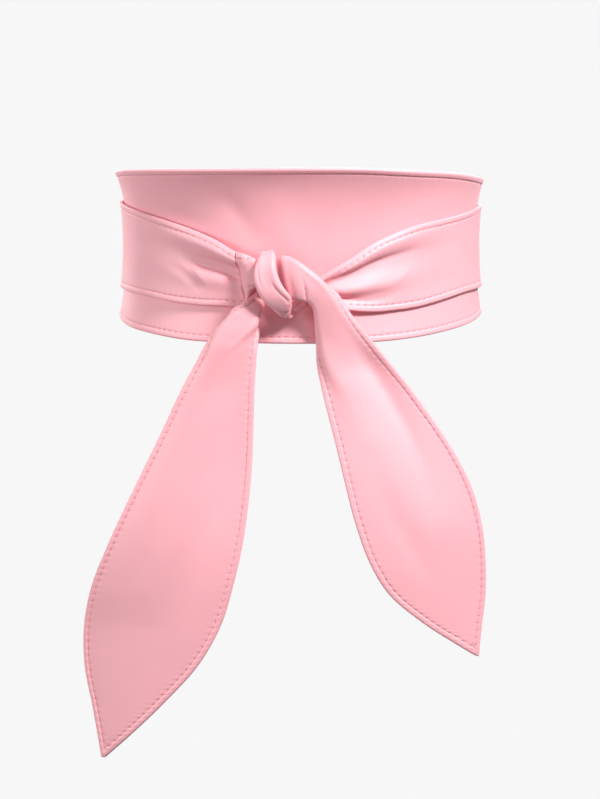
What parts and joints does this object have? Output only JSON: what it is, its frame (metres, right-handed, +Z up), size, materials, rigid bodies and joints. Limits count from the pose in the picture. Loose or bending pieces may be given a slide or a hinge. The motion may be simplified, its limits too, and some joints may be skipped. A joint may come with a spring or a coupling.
{
  "type": "satin sash",
  "caption": "Worn obi-style satin sash: a wide waist panel whose ties cross behind, come round over it and knot in front, with leaf-shaped tails.",
  "frame": {"origin": "middle of the hollow for the wearer's waist, at the height of the waistline", "axes": "+Z up along the wearer's body, -Y out of the knotted front, +X to the right as seen from the front"},
  "size_m": [0.2768, 0.2227, 0.4059],
  "materials": {
    "satin": "smooth satin with a soft sheen",
    "thread": "matt sewing thread"
  },
  "bodies": {
    "root": {"waist_panel": "satin", "left_wrap": "satin", "right_wrap": "satin", "knot_loop": "satin", "right_tail": "satin", "left_tail": "satin"}
  },
  "joints": []
}
